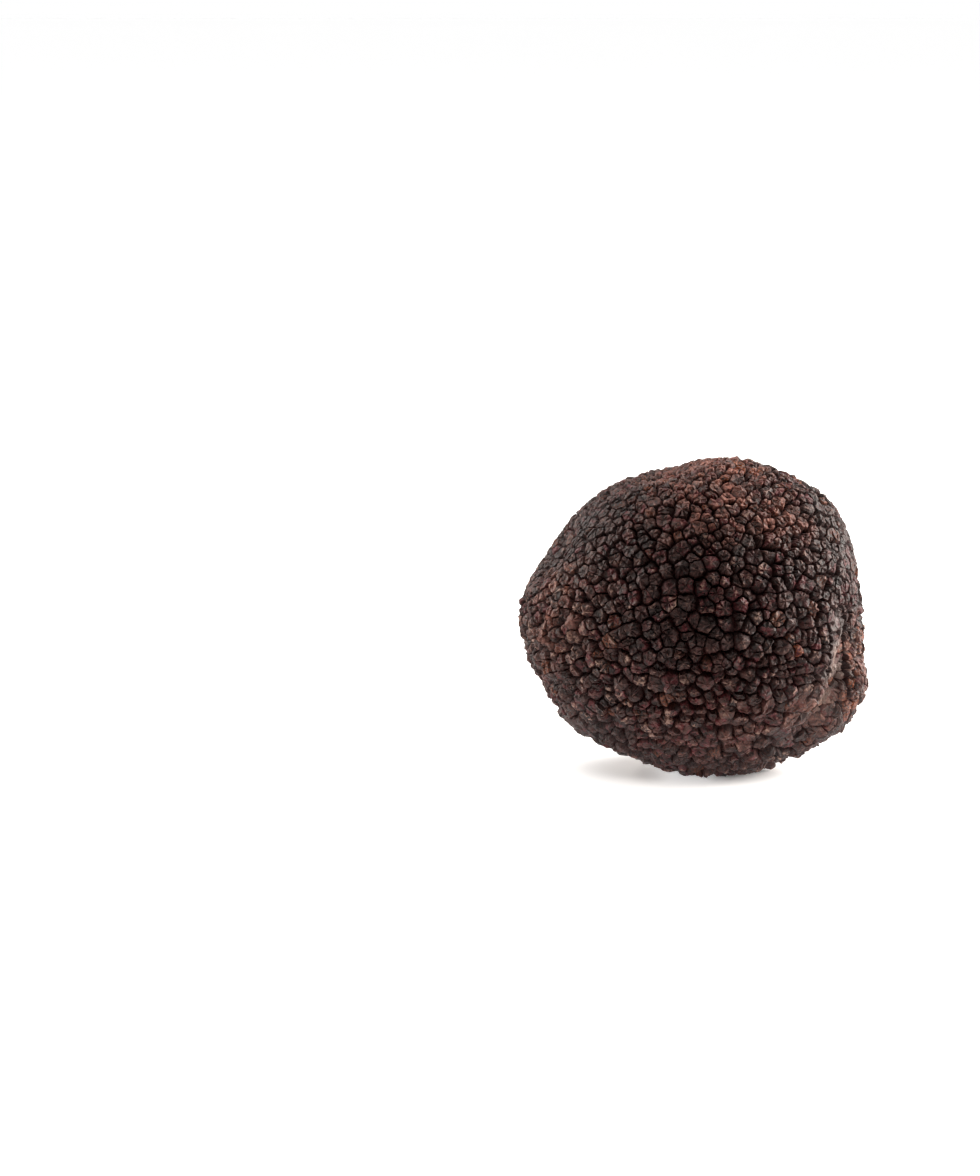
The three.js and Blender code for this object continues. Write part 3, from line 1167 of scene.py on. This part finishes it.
@dataclass(frozen=True)
class FloorFinish:
    """A plain white floor, lit a little from beneath under the truffle, like a light table.

    Away from the truffle it throws less light on it than the camera sees. The camera also sees a soft oval
    shade close to the truffle, at the sides of the spot where it rests. Lengths are in metres.
    """

    name: str = "pale_floor"
    seen: Colour = (0.95, 0.95, 0.95, 1)
    near: Colour = (0.85, 0.85, 0.85, 1)
    far: Colour = (0.2, 0.2, 0.2, 1)
    near_reach: float = 0.05
    far_reach: float = 0.13
    glow: float = 0.48
    front_glow: float = 0.04
    far_glow: float = 0.6
    glow_reach: float = 0.028
    glow_end: float = 0.042
    shade: float = 0.4
    shade_from: float = 0.0075
    shade_to: float = 0.015
    shade_scale: Triple = (0.7, 1.0, 1.0)
    shade_shift: Triple = (0.0007, 0.0, 0.0)
    shade_gap: float = 0.001
    shade_full: float = 0.005

    def material(self) -> bpy.types.Material:
        """Builds the material. Its glow and the light that it throws fade with the distance from the truffle.

        Returns:
            The material.
        """
        desk = NodeDesk(self.name)
        camera = desk.node("ShaderNodeLightPath").outputs["Is Camera Ray"]
        place = desk.node("ShaderNodeTexCoord").outputs["Object"]
        away = desk.node("ShaderNodeVectorMath", {0: place}, operation="LENGTH").outputs["Value"]
        thrown = desk.mix(desk.ramp(away, self.near_reach, self.far_reach), self.near, self.far)
        glow = desk.ramp(away, self.glow_reach, self.glow_end, self.glow, 0.0)
        oval = {0: place, 1: self.shade_scale, 2: self.shade_shift}
        oval = desk.node("ShaderNodeVectorMath", oval, operation="MULTIPLY_ADD").outputs[0]
        near = desk.node("ShaderNodeVectorMath", {0: oval}, operation="LENGTH").outputs["Value"]
        shade = desk.ramp(near, self.shade_from, self.shade_to, -self.shade, 0.0)
        sideways = desk.maths("ABSOLUTE", desk.node("ShaderNodeSeparateXYZ", {0: oval}).outputs["X"])
        shade = desk.maths("MULTIPLY", shade, desk.ramp(sideways, self.shade_gap, self.shade_full))
        extra = desk.ramp(away, self.glow_reach, self.far_reach, self.front_glow, self.far_glow)
        extra = desk.maths("ADD", extra, shade)
        inputs = {
            "Base Color": desk.mix(camera, thrown, self.seen),
            "Roughness": 0.9,
            "Emission Color": (1, 1, 1, 1),
            "Emission Strength": desk.maths("MULTIPLY_ADD", camera, extra, glow),
        }
        shader = desk.node("ShaderNodeBsdfPrincipled", inputs)
        desk.node("ShaderNodeOutputMaterial", {"Surface": shader.outputs[0]})
        return desk.material


@dataclass(frozen=True)
class Panel:
    """One soft light panel: where its middle hangs and its side, in metres, and its power in watts."""

    name: str
    place: Triple
    side: float
    power: float


@dataclass(frozen=True)
class Studio:
    """The floor, the light and the camera. Lengths are in metres."""

    panels: tuple[Panel, ...] = (
        Panel("panel_above", (0.0, 0.0, 0.9), 1.0, 4.6),
        Panel("panel_right", (0.5, 0.14, 0.2), 0.3, 7.2),
        Panel("panel_left", (-0.5, 0.14, 0.2), 0.3, 3.8),
    )
    floor_half: float = 3.0
    photo_size: tuple[int, int] = (980, 1176)
    px_per_mm: float = 6.42
    distance: float = 0.65
    elevation: float = 10.0
    sensor: float = 36.0
    body_middle: Triple = (0.0, 0.0, 0.0247)
    body_right: float = 0.0315
    body_below: float = 0.0038
    panel_colour: Triple = (1.0, 0.94, 0.88)
    room_light: float = 0.98
    dark_reach: float = 83.0
    white_from: float = 102.0

    def floor(self) -> bpy.types.Object:
        """Lays the floor under the truffle's flat spot."""
        mesh = bpy.data.meshes.new("floor")
        half = self.floor_half
        corners = [(-half, -half, 0), (half, -half, 0), (half, half, 0), (-half, half, 0)]
        mesh.from_pydata(corners, [], [(0, 1, 2, 3)])
        mesh.materials.append(FloorFinish().material())
        obj = bpy.data.objects.new("floor", mesh)
        bpy.context.scene.collection.objects.link(obj)
        return obj

    def camera(self) -> None:
        """Sets the camera where the photo's was, with the truffle to the right of the picture's middle."""
        rise = math.radians(self.elevation)
        forward = Vector((0, math.cos(rise), -math.sin(rise)))
        right = Vector((1, 0, 0))
        up = right.cross(forward)
        aim = Vector(self.body_middle) - right * self.body_right + up * self.body_below
        data = bpy.data.cameras.new("camera")
        data.sensor_width = self.sensor
        seen = self.photo_size[1] / self.px_per_mm * MM
        data.lens = self.sensor * self.distance / seen
        obj = bpy.data.objects.new("camera", data)
        obj.location = aim - forward * self.distance
        obj.rotation_euler = forward.to_track_quat("-Z", "Y").to_euler()
        bpy.context.scene.collection.objects.link(obj)
        bpy.context.scene.camera = obj

    def hang(self, panel: Panel) -> None:
        """Hangs a soft light panel that faces the truffle.

        Args:
            panel: the panel to hang.
        """
        data = bpy.data.lights.new(panel.name, "AREA")
        data.color = self.panel_colour
        data.shape = "RECTANGLE"
        data.size, data.size_y = panel.side, panel.side
        data.energy = panel.power
        obj = bpy.data.objects.new(panel.name, data)
        obj.location = panel.place
        towards = Vector(self.body_middle) - Vector(panel.place)
        obj.rotation_euler = towards.to_track_quat("-Z", "Y").to_euler()
        bpy.context.scene.collection.objects.link(obj)

    def room(self) -> None:
        """Makes a white room that is dark on the side from which the truffle is seen.

        The light from a direction is none within dark_reach degrees of that side, and rises smoothly to
        room_light at white_from degrees from it. The camera sees plain white.
        """
        world = bpy.data.worlds.new("white_room")
        world.use_nodes = True
        tree = world.node_tree
        back = tree.nodes["Background"]
        back.inputs["Color"].default_value = (1, 1, 1, 1)
        place = tree.nodes.new("ShaderNodeTexCoord")
        facing = tree.nodes.new("ShaderNodeVectorMath")
        facing.operation = "DOT_PRODUCT"
        rise = math.radians(self.elevation)
        facing.inputs[1].default_value = (0, -math.cos(rise), math.sin(rise))
        light = tree.nodes.new("ShaderNodeMapRange")
        light.interpolation_type = "SMOOTHSTEP"
        light.inputs["From Min"].default_value = math.cos(math.radians(self.white_from))
        light.inputs["From Max"].default_value = math.cos(math.radians(self.dark_reach))
        light.inputs["To Min"].default_value = self.room_light
        light.inputs["To Max"].default_value = 0.0
        path = tree.nodes.new("ShaderNodeLightPath")
        strength = tree.nodes.new("ShaderNodeMath")
        strength.operation = "MAXIMUM"
        tree.links.new(place.outputs["Generated"], facing.inputs[0])
        tree.links.new(facing.outputs["Value"], light.inputs["Value"])
        tree.links.new(light.outputs[0], strength.inputs[0])
        tree.links.new(path.outputs["Is Camera Ray"], strength.inputs[1])
        tree.links.new(strength.outputs[0], back.inputs["Strength"])
        bpy.context.scene.world = world

    def lights(self) -> None:
        """The room, one large soft panel above, and a smaller one at each side, the right one stronger."""
        self.room()
        bpy.context.scene.view_settings.view_transform = "Standard"
        for panel in self.panels:
            self.hang(panel)


def save_sizes() -> None:
    """Brings the scene's object positions up to date.
    """
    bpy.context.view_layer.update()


def main() -> None:
    """Builds the truffle, dresses it and sets the studio round it."""
    logging.basicConfig(level=logging.INFO, format="%(name)s: %(message)s")
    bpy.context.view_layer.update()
    truffle = Truffle().build()
    truffle.data.materials.append(SkinFinish().material())
    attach(truffle, BODY)
    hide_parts(NODE)
    log.info("%s rides on %s", truffle.name, BODY)
    studio = Studio()
    studio.floor()
    studio.lights()
    studio.camera()
    save_sizes()


if __name__ == "__main__":
    main()
